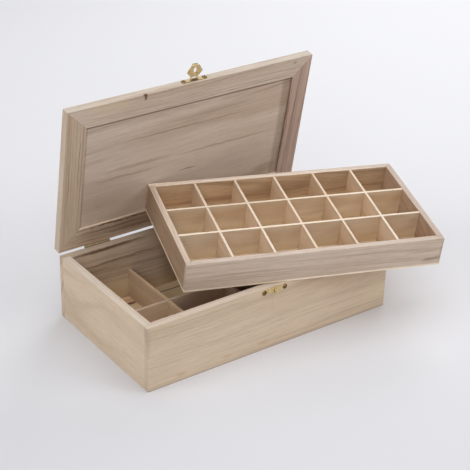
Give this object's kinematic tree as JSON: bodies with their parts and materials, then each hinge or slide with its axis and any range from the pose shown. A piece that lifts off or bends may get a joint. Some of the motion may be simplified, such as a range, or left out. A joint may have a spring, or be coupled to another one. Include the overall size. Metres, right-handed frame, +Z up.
{
  "type": "stamp box",
  "caption": "Wooden stamp box with a divided base, a panelled lid on brass hinges, a brass hasp and catch, and a lift-out tray of small cells lying askew across it.",
  "frame": {"origin": "middle of the base's underside", "axes": "+X along the box to the right, +Y from the front wall to the hinged back wall, +Z up"},
  "size_m": [0.3699, 0.2347, 0.2607],
  "materials": {
    "case_wood": "bare, sanded, straight grain",
    "panel_wood": "bare, sanded, straight grain, small knots",
    "tray_wood": "bare, sanded, fine grain",
    "divider_wood": "bare, sanded, slightly rough",
    "floor_wood": "bare, sanded, slightly rough",
    "brass": "dull, aged",
    "screw_brass": "dark, aged"
  },
  "bodies": {
    "base": {"base_back_wall": "case_wood", "base_cross_divider_1": "divider_wood", "base_cross_divider_2": "divider_wood", "base_cross_divider_3": "divider_wood", "base_floor": "floor_wood", "base_front_wall": "case_wood", "base_left_wall": "case_wood", "base_long_divider_1": "divider_wood", "base_right_wall": "case_wood", "catch_lug": "brass", "catch_plate": "brass", "catch_screws": "screw_brass", "hinge_base_leaf_left": "brass", "hinge_base_leaf_right": "brass", "hinge_base_screws": "screw_brass", "hinge_pin_left": "brass", "hinge_pin_right": "brass"},
    "lid": {"hasp_pin": "brass", "hasp_plate": "brass", "hasp_screws": "screw_brass", "hinge_lid_leaf_left": "brass", "hinge_lid_leaf_right": "brass", "hinge_lid_screws": "screw_brass", "lid_back_rail": "case_wood", "lid_front_rail": "case_wood", "lid_left_stile": "case_wood", "lid_panel": "panel_wood", "lid_right_stile": "case_wood"},
    "hasp": {"hasp": "brass"},
    "tray": {"tray_back_rail": "tray_wood", "tray_cross_divider_1": "divider_wood", "tray_cross_divider_2": "divider_wood", "tray_cross_divider_3": "divider_wood", "tray_cross_divider_4": "divider_wood", "tray_cross_divider_5": "divider_wood", "tray_floor": "floor_wood", "tray_front_rail": "tray_wood", "tray_left_rail": "tray_wood", "tray_long_divider_1": "divider_wood", "tray_long_divider_2": "divider_wood", "tray_right_rail": "tray_wood"}
  },
  "joints": [
    {"name": "lid_hinge", "type": "hinge", "parent": "base", "child": "lid", "pos_m": [0, 0.0868, 0.07215], "axis": [1, 0, 0], "range_deg": [0, 80]},
    {"name": "hasp_hinge", "type": "hinge", "parent": "lid", "child": "hasp", "pos_m": [0, 0.06191, 0.24414], "axis": [1, 0, 0], "range_deg": [-85, 90]},
    {"name": "tray_lift", "type": "slide", "parent": "base", "child": "tray", "axis": [0, -0.9397, 0.342], "range_m": [0, 0.4]}
  ],
  "couplings": [
    {"joint": "tray_lift", "follows": "lid_hinge", "m_per_rad": 0.2864}
  ]
}
